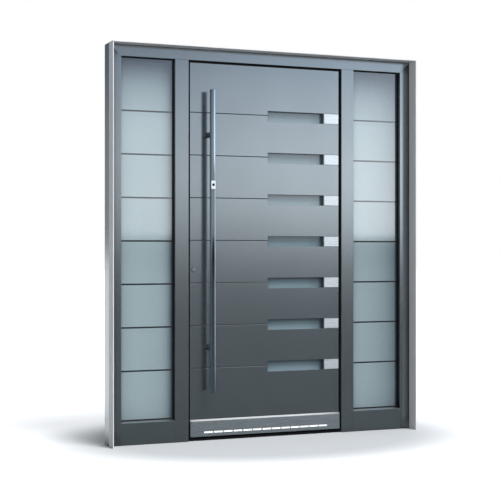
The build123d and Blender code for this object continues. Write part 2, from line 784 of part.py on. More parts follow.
def lock_faceplate():
    """Long plate in the leaf's edge with a window for each bolt."""
    half = FACEPLATE_WIDTH / 2
    plate = block(faceplate_x, case_x, lock_y - half, lock_y + half, faceplate_low, faceplate_high)
    for height, tall in bolt_places():
        plate -= bolt_body(height, tall, BOLT_CLEARANCE)
    return plate


def lock_cases():
    """Main lock case and the two side-bolt cases behind the faceplate."""
    half = CASE_THICK / 2
    main = block(
        case_x, case_x + CASE_DEPTH, lock_y - half, lock_y + half,
        LOCK_HEIGHT - CASE_MARGIN, latch_z + CASE_MARGIN,
    )
    main -= bolt_body(latch_z, LATCH_HEIGHT, BOLT_CLEARANCE)
    main -= bolt_body(dead_bolt_z, DEAD_BOLT_HEIGHT, BOLT_CLEARANCE)
    main -= rod_y(lock_x, lock_y - CASE_THICK, lock_y + CASE_THICK, LOCK_HEIGHT, CYLINDER_DIAMETER)
    main -= rod_y(lock_x, lock_y - CASE_THICK, lock_y + CASE_THICK, lever_z, spindle_bore())
    cases = [main]
    for height in side_bolt_heights:
        side = block(
            case_x, case_x + CASE_DEPTH, lock_y - half, lock_y + half,
            height - SIDE_CASE_HEIGHT / 2, height + SIDE_CASE_HEIGHT / 2,
        )
        side -= bolt_body(height, SIDE_BOLT_HEIGHT, BOLT_CLEARANCE)
        cases.append(side)
    return grouped(cases)


def bolts():
    """Latch bolt with its sloping nose, and the dead bolt with the two side bolts."""
    latch = bolt_body(latch_z, LATCH_HEIGHT, 0)
    nose = latch.edges().filter_by(Axis.Z).group_by(Axis.X)[0].sort_by(Axis.Y)[-1]
    latch = chamfer(nose, LATCH_BEVEL)
    thrown = [bolt_body(dead_bolt_z, DEAD_BOLT_HEIGHT, 0)]
    thrown += [bolt_body(height, SIDE_BOLT_HEIGHT, 0) for height in side_bolt_heights]
    return {"latch_bolt": latch, "lock_bolts": grouped(thrown)}


def strike_plates():
    """Plates on the mullion, one around the latch and dead bolt and one for each side bolt."""
    half = FACEPLATE_WIDTH / 2
    spans = [(dead_bolt_z - DEAD_BOLT_HEIGHT / 2, latch_z + LATCH_HEIGHT / 2)]
    spans += [(height - SIDE_BOLT_HEIGHT / 2, height + SIDE_BOLT_HEIGHT / 2) for height in side_bolt_heights]
    plates = []
    for low, high in spans:
        plate = block(
            -rebate_half, STRIKE_SHEET - rebate_half, lock_y - half, lock_y + half,
            low - STRIKE_MARGIN, high + STRIKE_MARGIN,
        )
        for height, tall in bolt_places():
            plate -= bolt_hole(height, tall)
        plates.append(plate)
    return grouped(plates)


def inner_escutcheon():
    """Rounded plate inside, with a bearing for the lever and a hole for the cylinder."""
    low = LOCK_HEIGHT - ESCUTCHEON_MARGIN
    high = lever_z + ESCUTCHEON_MARGIN
    at = Plane(origin=(lock_x, inner_y, (low + high) / 2), x_dir=(1, 0, 0), z_dir=(0, 1, 0))
    outline = RectangleRounded(ESCUTCHEON_WIDTH, high - low, ESCUTCHEON_CORNER)
    plate = extrude(at * outline, amount=ESCUTCHEON_DEPTH)
    plate = chamfer(plate.faces().sort_by(Axis.Y)[-1].edges(), EDGE_ROUND)
    face = inner_y + ESCUTCHEON_DEPTH
    bearing = LEVER_DIAMETER + 2 * LEVER_FIT
    plate -= rod_y(lock_x, inner_y + ESCUTCHEON_FLOOR, face + OVERRUN, lever_z, bearing)
    plate -= rod_y(lock_x, inner_y - OVERRUN, face, lever_z, spindle_bore())
    return plate - rod_y(lock_x, inner_y - OVERRUN, face + OVERRUN, LOCK_HEIGHT, CYLINDER_DIAMETER)


def lever():
    """Round lever with a mitred corner and a square spindle into the lock case."""
    root = inner_y + ESCUTCHEON_FLOOR
    tip = inner_y + ESCUTCHEON_DEPTH + LEVER_REACH
    corners = [(lock_x, root, lever_z), (lock_x, tip, lever_z), (lock_x + LEVER_LENGTH, tip, lever_z)]
    path = Polyline(*corners)
    start = Plane(origin=path @ 0, z_dir=path % 0)
    arm = sweep(start * Circle(LEVER_DIAMETER / 2), path=path, transition=Transition.RIGHT)
    arm = chamfer(arm.edges().filter_by(GeomType.CIRCLE).sort_by(Axis.X)[-1], BAR_CHAMFER)
    half = SPINDLE_SIDE / 2
    spindle = block(
        lock_x - half, lock_x + half, lock_y - CASE_THICK / 2, root, lever_z - half, lever_z + half
    )
    return arm + spindle


def hinge_levels(height):
    """Ends of the three knuckles of a hinge, from the bottom up."""
    low = height - HINGE_LENGTH / 2
    return [low + HINGE_LENGTH * share for share in KNUCKLE_SHARES]


def hinge_leaf_half(height):
    """Flap on the leaf with the middle knuckle."""
    foot, low, high, head = hinge_levels(height)
    low += KNUCKLE_GAP
    high -= KNUCKLE_GAP
    flap = block(hinge_x - FLAP_WIDTH, hinge_x, inner_y, inner_y + FLAP_SHEET, foot, head)
    relief = KNUCKLE_DIAMETER + 2 * KNUCKLE_GAP
    flap -= rod_z(hinge_x, hinge_y, foot - OVERRUN, low, relief)
    flap -= rod_z(hinge_x, hinge_y, high, head + OVERRUN, relief)
    flap -= block(wide_half, hinge_x + OVERRUN, inner_y - OVERRUN, hinge_y, foot - OVERRUN, low)
    flap -= block(wide_half, hinge_x + OVERRUN, inner_y - OVERRUN, hinge_y, high, head + OVERRUN)
    knuckle = rod_z(hinge_x, hinge_y, low, high, KNUCKLE_DIAMETER)
    half = flap + knuckle
    return half - rod_z(hinge_x, hinge_y, foot - OVERRUN, head + OVERRUN, PIN_DIAMETER + 2 * PIN_FIT)


def hinge_frame_half(height):
    """Flap on the mullion with the lower and upper knuckles."""
    foot, low, high, head = hinge_levels(height)
    flap = block(hinge_x, hinge_x + FLAP_WIDTH, inner_y, inner_y + FLAP_SHEET, foot, head)
    relief = KNUCKLE_DIAMETER + 2 * KNUCKLE_GAP
    flap -= rod_z(hinge_x, hinge_y, low, high, relief)
    flap -= block(hinge_x - OVERRUN, rebate_half, inner_y - OVERRUN, hinge_y, low, high)
    half = flap + rod_z(hinge_x, hinge_y, foot, low, KNUCKLE_DIAMETER)
    half += rod_z(hinge_x, hinge_y, high, head, KNUCKLE_DIAMETER)
    return half - rod_z(hinge_x, hinge_y, foot - OVERRUN, head + OVERRUN, PIN_DIAMETER)


def hinge_pin(height):
    """Pin with a flat head at both ends of the barrel."""
    foot, low, high, head = hinge_levels(height)
    pin = rod_z(hinge_x, hinge_y, foot, head, PIN_DIAMETER)
    pin += rod_z(hinge_x, hinge_y, foot - PIN_HEAD, foot, KNUCKLE_DIAMETER)
    return pin + rod_z(hinge_x, hinge_y, head, head + PIN_HEAD, KNUCKLE_DIAMETER)


def hinges():
    """Three barrel hinges on the right-hand side, seen from outside."""
    groups = {
        "hinge_leaf_halves": hinge_leaf_half,
        "hinge_frame_halves": hinge_frame_half,
        "hinge_pins": hinge_pin,
    }
    return {
        name: grouped([make(height) for height in hinge_heights])
        for name, make in groups.items()
    }


def all_parts():
    """Every piece of the door set by its name."""
    parts = {}
    parts.update(outer_frame())
    parts.update(mullions())
    parts.update(sill_rails())
    parts.update(threshold())
    parts.update(surround())
    parts.update(sidelights())
    parts["outer_panel"] = outer_panel()
    parts["inner_panel"] = inner_panel()
    parts["insulation_core"] = insulation_core()
    parts.update(leaf_frame())
    parts["leaf_seals"] = leaf_seals()
    for number, height in enumerate(reversed(band_heights), start=1):
        parts[f"slot_glass_{number}"] = slot_glass(height)
        parts[f"steel_inlay_{number}"] = steel_inlay(height)
    parts["kick_plate"] = kick_plate()
    parts["kick_light_strip"] = kick_light_strip()
    parts["pull_bar"] = pull_bar()
    parts["pull_bar_posts"] = pull_bar_posts()
    parts.update(finger_reader())
    parts.update(lock_cylinder())
    parts["key_plug"] = key_plug()
    parts["lock_faceplate"] = lock_faceplate()
    parts["lock_cases"] = lock_cases()
    parts.update(bolts())
    parts["strike_plates"] = strike_plates()
    parts["inner_escutcheon"] = inner_escutcheon()
    parts["lever"] = lever()
    parts.update(hinges())
    return parts


os.makedirs("parts", exist_ok=True)
for name, part in all_parts().items():
    export_step(part, f"parts/{name}.step")
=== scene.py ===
"""Front door set: finishes, small fasteners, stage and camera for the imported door."""
import math

import bpy
from bpy.props import FloatProperty, FloatVectorProperty, IntProperty, PointerProperty
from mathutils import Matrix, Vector


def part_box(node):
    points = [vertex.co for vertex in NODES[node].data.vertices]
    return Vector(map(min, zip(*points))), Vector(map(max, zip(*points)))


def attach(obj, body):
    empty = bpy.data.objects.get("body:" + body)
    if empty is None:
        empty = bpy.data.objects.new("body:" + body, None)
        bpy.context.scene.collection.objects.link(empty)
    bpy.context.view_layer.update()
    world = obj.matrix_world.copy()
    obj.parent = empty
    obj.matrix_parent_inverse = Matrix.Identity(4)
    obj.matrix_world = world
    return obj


bl_info = {
    "name": "Front Door Set",
    "version": (1, 0, 0),
    "blender": (4, 5, 0),
    "location": "View3D > Sidebar > Door",
    "description": "Finishes, fasteners and stage for a front door with sidelights",
    "category": "Object",
}

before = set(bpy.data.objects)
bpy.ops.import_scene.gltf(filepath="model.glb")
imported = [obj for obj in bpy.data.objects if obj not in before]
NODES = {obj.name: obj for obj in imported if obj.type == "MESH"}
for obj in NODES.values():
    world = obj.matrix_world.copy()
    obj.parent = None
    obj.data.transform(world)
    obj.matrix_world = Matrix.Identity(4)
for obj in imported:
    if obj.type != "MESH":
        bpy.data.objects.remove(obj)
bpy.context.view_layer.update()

# Nodes that share a finish
JAMBS = ("frame_jamb_left", "frame_jamb_right")
FRAME_BARS = ("frame_head", "mullion_left", "mullion_right", "sill_rail_left", "sill_rail_right",
              "glazing_beads", "hinge_frame_halves")
SURROUND_BARS = ("surround_left", "surround_right", "surround_head")
LEAF_SKINS = ("outer_panel", "inner_panel", "stile_lock", "stile_hinge", "rail_top", "rail_bottom",
              "hinge_leaf_halves")
FITTINGS = ("pull_bar_posts", "cylinder_rosette", "inner_escutcheon", "lever")
LOCK_METAL = ("strike_plates", "lock_faceplate", "lock_cases", "hinge_pins", "latch_bolt", "lock_bolts")
BAND_NUMBERS = range(1, 8)
SLOT_GLASS = [f"slot_glass_{number}" for number in BAND_NUMBERS]
INLAYS = [f"steel_inlay_{number}" for number in BAND_NUMBERS]

# Colours that a user has no reason to change
BLACK = (0.0, 0.0, 0.0)
WHITE = (1.0, 1.0, 1.0)
READER_BLACK = (0.004, 0.004, 0.005)
THRESHOLD_BLACK = (0.008, 0.008, 0.009)
SEAL_BLACK = (0.012, 0.012, 0.012)
# Near-black painted shade for the dark room seen through the sidelights' panes
PANE_PAINTED_SHADE = (0.010, 0.012, 0.014)
CLEAR_TINT = (0.36, 0.42, 0.42)
SPACER_GREY = (0.3, 0.3, 0.31)
NICKEL = (0.55, 0.53, 0.49)
ZINC = (0.5, 0.5, 0.51)
SCREW_STEEL = (0.58, 0.58, 0.59)
CORE_FOAM = (0.60, 0.56, 0.42)
OPAL_WHITE = (0.90, 0.91, 0.91)
CARD_GREY = (0.038, 0.048, 0.051)

# Shading: the middle stretch of a noise that carries its pattern, samples, soft edges and the painted shade
# where recesses close in
NOISE_TONES = (0.35, 0.65)
NOISE_SPREAD = (0.3, 0.7)
SHADE_SAMPLES = 16
EDGE_SAMPLES = 6
FRAME_EDGE = 0.0014
LEAF_EDGE = 0.0006
SURROUND_EDGE = 0.0012
# Painted shade where recesses close in: its reach in the grooves, the dark tones painted in grooves, beside
# the surround, on the satin fields and in the slots, its share left at the floor, and its lean on the glass
GROOVE_SHADE = 0.006
GROOVE_PAINTED_SHADE = (0.25,) * 3
CORNER_PAINTED_SHADOW = (0.22,) * 3
CORNER_SHARE_AT_FLOOR = 0.3
SATIN_PAINTED_SHADE = (0.03, 0.04, 0.10)
SLOT_PAINTED_SHADE = (0.20, 0.22, 0.25)
GLASS_LEAN = (0.5, 0.0, 0.886)

# Places of the screws in metres, and the sizes of the plates that they hold
HINGE_SCREW_COLUMNS = (0.013, 0.031)
HINGE_SCREW_ROWS = (-0.042, 0.0, 0.042)
HINGE_PLATE_THICKNESS = 0.004
HINGE_HALF_HEIGHT = 0.06
FACEPLATE_SCREW_INSETS = (0.014, 0.24)
STRIKE_SCREW_INSET = 0.011
STRIKE_LEAST_GAP = 0.2

# Stage in metres, with turns and slants in degrees, and the camera's aim as across and ahead
FLOOR_REACH = 200.0
FLOOR_SQUEEZE = (0.75, 1.0, 1.0)
FLOOR_SHINE = (0.6,) * 3
RING_SIDES = 48
RING_RADIUS = 60.0
RING_HEIGHT = 30.0
LOW_CARD_LIFT = 0.001
LOW_CARD_RIGHT = 1.6
LOW_CARD_SLANT = 60.0
FAR_CARD_FEET = ((-80.0, -70.0), (120.0, -70.0))
FAR_CARD_TOP = 2.0
SIDE_CARD_TURNS = ((-18.0, 13.0), (34.0, 66.0))
SIDE_CARD_AWAY = 40.0
SIDE_CARD_TOP = 4.3
KEY_PLACE = (1.1, -2.7, 5.3)
FILL_PLACE = (-2.2, -5.0, 2.6)
FILL_SIZE = (2.6, 2.2)
LAMP_AIM = (0.0, 0.0, 1.1)
CAMERA_AIM = (0.3795, 0.9252)
SENSOR_WIDTH = 36.0
CAMERA_REACH = 200.0

# Sky: colours by height from the horizon to overhead, strengths from the left side to the right
SKY_LOW = -0.05
SKY_HIGH = 1.05
SKY_COLOURS = ((-0.05, (0.90, 0.95, 1.0)), (0.0, (0.94, 1.0, 1.04)), (0.05, (0.94, 1.0, 1.04)),
               (0.10, (0.80, 0.88, 0.95)), (0.135, (0.50, 0.59, 0.70)), (0.165, (0.32, 0.40, 0.50)),
               (0.60, (0.36, 0.41, 0.46)), (0.85, (0.85, 0.88, 0.90)), (1.0, (1.0, 1.0, 1.0)))
SKY_STRENGTHS = ((0.0, 0.22), (0.05, 0.26), (0.1, 0.62), (0.3, 0.62), (0.38, 0.30), (0.52, 0.30),
                 (0.6, 0.80), (0.65, 1.08), (0.725, 1.72), (0.8, 2.0), (1.0, 2.0))


class DoorFinishes(bpy.types.PropertyGroup):
    """Colours and gloss of the door's surfaces."""
    paint: FloatVectorProperty(name="Paint", description="Metallic grey of frame and leaf", subtype="COLOR",
                               default=(0.345, 0.372, 0.388))
    paint_roughness: FloatProperty(name="Paint roughness", description="Blur of reflections in the paint",
                                   default=0.17, min=0.0, max=1.0)
    # Painted shadow on the jambs beside the surround
    corner_shade: FloatProperty(name="Corner shade", description="How far the surround shades the jambs",
                                unit="LENGTH", default=0.09, min=0.0)
    surround: FloatVectorProperty(name="Surround", description="Grey of the surround", subtype="COLOR",
                                  default=(0.50, 0.50, 0.505))
    satin: FloatVectorProperty(name="Satin glass", description="Tint of the satin fields", subtype="COLOR",
                               default=(0.260, 0.334, 0.345))
    # A lit copy of the satin, painted light for daylight through the fields seen from indoors
    satin_inside_painted_light: FloatVectorProperty(name="Satin inside", description="Satin fields seen from indoors",
                                      subtype="COLOR", default=(0.50, 0.57, 0.58))
    # Painted shade on the satin fields under the head and beside the reveals
    satin_shade: FloatProperty(name="Satin shade", description="How far the reveals shade the satin fields",
                               unit="LENGTH", default=0.42, min=0.0)
    slot: FloatVectorProperty(name="Slot glass", description="Tint of the leaf's glass strips",
                              subtype="COLOR", default=(0.155, 0.22, 0.25))
    # Painted shade on the slots' glass near their sides
    slot_shade: FloatProperty(name="Slot shade", description="How far the slots' sides shade their glass",
                              unit="LENGTH", default=0.09, min=0.0)
    steel: FloatVectorProperty(name="Steel", description="Brushed steel of the pull bar", subtype="COLOR",
                               default=(0.40, 0.46, 0.515))
    kick: FloatVectorProperty(name="Kick steel", description="Brushed steel of the kick plate",
                              subtype="COLOR", default=(0.90, 0.91, 0.92))
    inlay: FloatVectorProperty(name="Inlay steel", description="Bright steel of the inlays",
                               subtype="COLOR", default=(0.88, 0.91, 0.93))
    eye_ring: FloatProperty(name="Eye ring", description="Width of the black ring round the reader's eye",
                            unit="LENGTH", default=0.0016, min=0.0)


class DoorFasteners(bpy.types.PropertyGroup):
    """Sizes of the screws on hinges, faceplate and strikes."""
    head_radius: FloatProperty(name="Head radius", description="Radius of a screw head", unit="LENGTH",
                               default=0.0042, min=0.001)
    head_height: FloatProperty(name="Head height", description="How far a screw head stands out",
                               unit="LENGTH", default=0.0009, min=0.0001)
    socket_radius: FloatProperty(name="Socket radius", description="Radius of the drive socket",
                                 unit="LENGTH", default=0.0019, min=0.0005)
    socket_depth: FloatProperty(name="Socket depth", description="Depth of the drive socket", unit="LENGTH",
                                default=0.0007, min=0.0001)
    sides: IntProperty(name="Sides", description="Corners of a screw head's outline", default=24, min=6)


class DoorStage(bpy.types.PropertyGroup):
    """Camera, lamps and floor."""
    camera_place: FloatVectorProperty(name="Camera place", description="Where the camera stands",
                                      unit="LENGTH", subtype="TRANSLATION", default=(-2.913, -6.879, 1.12))
    camera_turn: FloatProperty(name="Camera turn", description="Turn of the camera from straight ahead",
                               subtype="ANGLE", default=math.atan2(*CAMERA_AIM))
    lens: FloatProperty(name="Lens", description="Focal length in millimetres", default=89.28, min=1.0)
    key_strength: FloatProperty(name="Key strength", description="Strength of the light from upper right",
                                default=4.6)
    key_spread: FloatProperty(name="Key spread", description="How soft the key light's shadows are",
                              subtype="ANGLE", default=math.radians(24.0))
    fill_power: FloatProperty(name="Fill power", description="Power of the weak lamp on the left in watts",
                              default=130.0)
    floor: FloatVectorProperty(name="Floor", description="Pale floor", subtype="COLOR",
                               default=(0.36, 0.37, 0.38))
    # The floor's painted shade round the door, and where it gives way to white
    floor_near: FloatProperty(name="Floor near", description="Where the floor starts to turn white",
                              unit="LENGTH", default=0.66, min=0.0)
    floor_far: FloatProperty(name="Floor far", description="Where the floor is white", unit="LENGTH",
                             default=1.15, min=0.1)


class NodeSheet:
    """Short names for wiring the nodes of one tree."""

    def __init__(self, tree):
        self.nodes = tree.nodes
        self.links = tree.links

    def feed(self, socket, source):
        """Link a socket to another one, or give it a plain value."""
        if isinstance(source, bpy.types.NodeSocket):
            self.links.new(source, socket)
        else:
            socket.default_value = source

    def add(self, kind, **sources):
        """A new node, with its inputs fed by name."""
        node = self.nodes.new(kind)
        for label, source in sources.items():
            self.feed(node.inputs[label.replace("_", " ")], source)
        return node

    def step(self, operation, first, second):
        """One sum on two sources, each a number or a socket."""
        node = self.nodes.new("ShaderNodeMath")
        node.operation = operation
        self.feed(node.inputs[0], first)
        self.feed(node.inputs[1], second)
        return node.outputs[0]

    def arrow_step(self, operation, first, second=(0.0, 0.0, 0.0)):
        """The outputs of one sum on two places or directions."""
        node = self.nodes.new("ShaderNodeVectorMath")
        node.operation = operation
        self.feed(node.inputs[0], first)
        self.feed(node.inputs[1], second)
        return node.outputs

    def part(self, place, axis):
        """One coordinate of a place or a direction."""
        return self.add("ShaderNodeSeparateXYZ", Vector=place).outputs[axis]

    def span(self, source, start, end, low=0.0, high=1.0, smooth=False):
        """Carry a source from one range to another, held at both ends."""
        node = self.add("ShaderNodeMapRange", Value=source, From_Min=start, From_Max=end,
                        To_Min=low, To_Max=high)
        node.interpolation_type = "SMOOTHSTEP" if smooth else "LINEAR"
        return node.outputs["Result"]

    def ramp(self, source, stops):
        """A colour for a source, through stops of a place and a colour."""
        node = self.add("ShaderNodeValToRGB", Fac=source)
        elements = node.color_ramp.elements
        while len(elements) < len(stops):
            elements.new(0.5)
        for element, (place, colour) in zip(elements, stops):
            element.position = place
            element.color = (*colour, 1.0)
        return node.outputs["Color"]

    def seen(self):
        """One for what the camera, reflections and glass see, and none for lighting."""
        rays = self.nodes.new("ShaderNodeLightPath").outputs
        straight = self.step("MAXIMUM", rays["Is Camera Ray"], rays["Is Glossy Ray"])
        return self.step("MAXIMUM", straight, rays["Is Transmission Ray"])


class ShaderSheet(NodeSheet):
    """One surface, built from nodes on object coordinates."""

    def __init__(self, name):
        self.material = bpy.data.materials.new(name)
        self.material.use_nodes = True
        super().__init__(self.material.node_tree)
        self.shader = self.nodes["Principled BSDF"]
        self.place = self.nodes.new("ShaderNodeTexCoord").outputs["Object"]

    def set(self, **values):
        """Put plain values on the shader's own sockets."""
        for name, value in values.items():
            socket = self.shader.inputs[name.replace("_", " ")]
            socket.default_value = (*value, 1.0) if isinstance(value, tuple) else value
        return self

    def noise(self, scale, detail=2.0, stretch=(1.0, 1.0, 1.0)):
        """Noise on the place, stretched along the axes."""
        mapping = self.add("ShaderNodeMapping", Vector=self.place, Scale=stretch)
        grain = self.add("ShaderNodeTexNoise", Vector=mapping.outputs["Vector"], Scale=scale, Detail=detail)
        return grain.outputs["Fac"]

    def colour(self, source, base, change):
        """A base colour that a noise makes a little darker and lighter."""
        tones = [[channel * share for channel in base] for share in (1.0 - change, 1.0 + change)]
        self.links.new(self.ramp(source, list(zip(NOISE_TONES, tones))), self.shader.inputs["Base Color"])
        return self

    def roughness(self, source, low, high):
        """A roughness that a noise moves between two values."""
        self.links.new(self.span(source, *NOISE_SPREAD, low, high), self.shader.inputs["Roughness"])
        return self

    def bump(self, source, strength, distance, edge=0.0):
        """Fine relief from a noise, with softened edges where a radius is given."""
        relief = self.add("ShaderNodeBump", Strength=strength, Distance=distance, Height=source)
        if edge:
            soft = self.add("ShaderNodeBevel", Radius=edge)
            soft.samples = EDGE_SAMPLES
            self.links.new(soft.outputs["Normal"], relief.inputs["Normal"])
        self.links.new(relief.outputs["Normal"], self.shader.inputs["Normal"])
        return self

    def blend(self, way, share, tint):
        """Work a tint into the colour that the surface has so far."""
        mix = self.nodes.new("ShaderNodeMix")
        mix.data_type, mix.blend_type = "RGBA", way
        base = self.shader.inputs["Base Color"]
        self.feed(mix.inputs["Factor"], share)
        self.feed(mix.inputs["A"], base.links[0].from_socket)
        self.feed(mix.inputs["B"], tint)
        self.links.new(mix.outputs["Result"], base)
        return self

    def paint_recess_shade(self, distance, low, start, end, lean=None, share=1.0):
        """Paint shade into the colour, down to a low tone, where a groove, corner or reveal closes in.

        The painted shade looks straight out of the surface, or leans where a lean is given.
        """
        shade = self.add("ShaderNodeAmbientOcclusion", Distance=distance)
        shade.samples = SHADE_SAMPLES
        if lean:
            outward = self.nodes.new("ShaderNodeNewGeometry").outputs["Normal"]
            leaning = self.arrow_step("ADD", outward, lean)["Vector"]
            self.links.new(self.arrow_step("NORMALIZE", leaning)["Vector"], shade.inputs["Normal"])
        return self.blend("MULTIPLY", share, self.ramp(shade.outputs["AO"], [(start, low), (end, WHITE)]))

    def spot(self, centre, reach, tint):
        """Give everything within reach of a centre one tint."""
        gap = self.arrow_step("DISTANCE", self.place, centre)["Value"]
        return self.blend("MIX", self.step("LESS_THAN", gap, reach), (*tint, 1.0))


def metallic_paint(name, base, roughness, edge, corner=0.0):
    """Metallic lacquer with painted shade in its grooves, and a painted shadow in the corner beside the
    surround where a reach is given.
    """
    sheet = ShaderSheet(name).set(Metallic=0.95)
    sheet.colour(sheet.noise(scale=2.2), base, change=0.025)
    # Painted shade in the grooves
    sheet.paint_recess_shade(GROOVE_SHADE, GROOVE_PAINTED_SHADE, start=0.5, end=0.95)
    if corner:
        # Painted shadow beside the surround, weaker towards the floor
        height = sheet.part(sheet.place, "Z")
        share = sheet.span(height, 0.0, corner, low=CORNER_SHARE_AT_FLOOR, smooth=True)
        sheet.paint_recess_shade(corner, CORNER_PAINTED_SHADOW, start=0.5, end=0.78, share=share)
    sheet.roughness(sheet.noise(scale=3.0), roughness - 0.006, roughness + 0.006)
    sheet.bump(sheet.noise(scale=1400.0, detail=1.0), strength=0.02, distance=0.0002, edge=edge)
    return sheet.material


def matte_paint(name, base, roughness, edge):
    """Matte powder coat."""
    sheet = ShaderSheet(name)
    sheet.colour(sheet.noise(scale=2.2), base, change=0.02)
    sheet.roughness(sheet.noise(scale=20.0, detail=3.0), roughness - 0.04, roughness + 0.04)
    sheet.bump(sheet.noise(scale=900.0), strength=0.05, distance=0.0003, edge=edge)
    return sheet.material


def brushed_steel(name, base, roughness, stretch, change=0.06, metallic=1.0):
    """Steel with a grain that runs where the stretch is least."""
    sheet = ShaderSheet(name).set(Metallic=metallic)
    grain = sheet.noise(scale=1.0, detail=3.0, stretch=stretch)
    sheet.colour(grain, base, change)
    sheet.roughness(grain, roughness - change, roughness + change)
    return sheet.bump(grain, strength=change, distance=0.0001).material


def ringed_steel(name, base, roughness, plate, eye, ring):
    """Fine steel with a black ring round the eye in the plate."""
    sheet = ShaderSheet(name).set(Metallic=1.0)
    grain = sheet.noise(scale=900.0, detail=3.0)
    low, high = (Vector(corner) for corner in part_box(eye))
    centre = (low + high) / 2
    centre.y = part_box(plate)[0][1]
    sheet.colour(grain, base, change=0.02)
    sheet.spot(centre, (high.x - low.x) / 2 + ring, READER_BLACK)
    return sheet.roughness(grain, roughness - 0.02, roughness + 0.02).material


def satin_glass(name, base, gloss, reach, low, start, end):
    """Satin glass under a clear coat, with painted shade from what stands round it."""
    sheet = ShaderSheet(name).set(Coat_Weight=gloss, Coat_IOR=2.62, Coat_Roughness=0.05)
    sheet.colour(sheet.noise(scale=1.6), base, change=0.02)
    # Painted shade from the reveals, leaning up and to the right
    sheet.paint_recess_shade(reach, low, start, end, lean=GLASS_LEAN)
    return sheet.roughness(sheet.noise(scale=900.0, detail=1.0), 0.46, 0.56).material


def lined_glass(name, satin, pane, fields):
    """Pane in a near-black painted shade from outside, for the dark room seen through it, and in satin from
    inside but for the lines between the fields, a lit copy that is painted light for daylight through the
    fields.
    """
    sheet = ShaderSheet(name).set(Coat_Weight=1.0, Coat_IOR=2.0, Coat_Roughness=0.03)
    low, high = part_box(pane)
    heights = sorted({round(corner.co.z, 5) for corner in NODES[fields].data.vertices})
    first_line, second_line = (heights[1] + heights[2]) / 2, (heights[3] + heights[4]) / 2
    # Near-black painted shade outside and on the lines, and painted light of lit satin in the fields inside
    back = sheet.step("GREATER_THAN", sheet.part(sheet.place, "Y"), (low[1] + high[1]) / 2)
    rise = sheet.step("SUBTRACT", sheet.part(sheet.place, "Z"), first_line)
    gap = sheet.step("PINGPONG", rise, (second_line - first_line) / 2)
    field = sheet.step("GREATER_THAN", gap, (heights[2] - heights[1]) / 2)
    inside = sheet.step("MULTIPLY", back, field)
    sheet.links.new(sheet.ramp(inside, [(0.0, PANE_PAINTED_SHADE), (1.0, satin)]), sheet.shader.inputs["Base Color"])
    return sheet.roughness(sheet.noise(scale=4.0), 0.08, 0.1).material


def clear_glass(name, tint):
    """Clear glass with a faint tint."""
    sheet = ShaderSheet(name).set(Alpha=0.22, Coat_Weight=1.0, Coat_IOR=1.8, Coat_Roughness=0.02)
    sheet.colour(sheet.noise(scale=2.0), tint, change=0.02)
    return sheet.roughness(sheet.noise(scale=1.5), 0.05, 0.06).material


def soft_black(name, base, roughness):
    """Black rubber or plastic with little shine."""
    sheet = ShaderSheet(name).set(Specular_IOR_Level=0.12)
    sheet.colour(sheet.noise(scale=30.0), base, change=0.15)
    sheet.roughness(sheet.noise(scale=80.0), roughness - 0.06, roughness + 0.06)
    return sheet.bump(sheet.noise(scale=600.0), strength=0.08, distance=0.0003).material


def opal(name, base):
    """White light cover that glows a little."""
    sheet = ShaderSheet(name).set(Emission_Color=WHITE, Emission_Strength=0.12)
    sheet.colour(sheet.noise(scale=20.0), base, change=0.01)
    return sheet.roughness(sheet.noise(scale=200.0), 0.4, 0.5).material


def foam(name, base):
    """Coarse insulating foam."""
    sheet = ShaderSheet(name)
    sheet.colour(sheet.noise(scale=60.0), base, change=0.06)
    sheet.roughness(sheet.noise(scale=90.0), 0.85, 0.95)
    return sheet.bump(sheet.noise(scale=500.0, detail=3.0), strength=0.3, distance=0.0006).material


def dress(names, material):
    """Give CAD nodes a finish in place of their plain one."""
    for name in names:
        node = NODES[name]
        if not node.material_slots:
            node.data.materials.append(material)
        for slot in node.material_slots:
            slot.material = material


def screw_head(sheet, sizes, sides):
    """Nodes for one screw: a disc raised to a head, with a smaller disc sunk into its top."""
    disc = sheet.add("GeometryNodeMeshCircle", Vertices=sides, Radius=sizes["Head Radius"])
    disc.fill_type = "NGON"
    head = sheet.add("GeometryNodeExtrudeMesh", Mesh=disc.outputs["Mesh"],
                     Offset_Scale=sizes["Head Height"]).outputs
    rim = sheet.add("GeometryNodeExtrudeMesh", Mesh=head["Mesh"], Selection=head["Top"],
                    Offset_Scale=0.0).outputs
    shrink = sheet.step("DIVIDE", sizes["Socket Radius"], sizes["Head Radius"])
    socket = sheet.add("GeometryNodeScaleElements", Geometry=rim["Mesh"], Selection=rim["Top"],
                       Scale=shrink)
    down = sheet.step("MULTIPLY", sizes["Socket Depth"], -1.0)
    sunk = sheet.add("GeometryNodeExtrudeMesh", Mesh=socket.outputs["Geometry"], Selection=rim["Top"],
                     Offset_Scale=down)
    return sunk.outputs["Mesh"]


def screw_tree(name, settings, material, turn):
    """Geometry nodes that put a socket-head screw on every point."""
    tree = bpy.data.node_groups.new(name, "GeometryNodeTree")
    tree.interface.new_socket("Points", in_out="INPUT", socket_type="NodeSocketGeometry")
    sizes = {"Head Radius": settings.head_radius, "Head Height": settings.head_height,
             "Socket Radius": settings.socket_radius, "Socket Depth": settings.socket_depth}
    for label, value in sizes.items():
        socket = tree.interface.new_socket(label, in_out="INPUT", socket_type="NodeSocketFloat")
        socket.default_value = value
    tree.interface.new_socket("Screws", in_out="OUTPUT", socket_type="NodeSocketGeometry")
    sheet = NodeSheet(tree)
    inside = sheet.add("NodeGroupInput").outputs
    spread = sheet.add("GeometryNodeInstanceOnPoints", Points=inside["Points"], Rotation=turn,
                       Instance=screw_head(sheet, inside, settings.sides))
    real = sheet.add("GeometryNodeRealizeInstances", Geometry=spread.outputs["Instances"])
    paint = sheet.add("GeometryNodeSetMaterial", Geometry=real.outputs["Geometry"], Material=material)
    sheet.add("NodeGroupOutput", Screws=paint.outputs["Geometry"])
    return tree


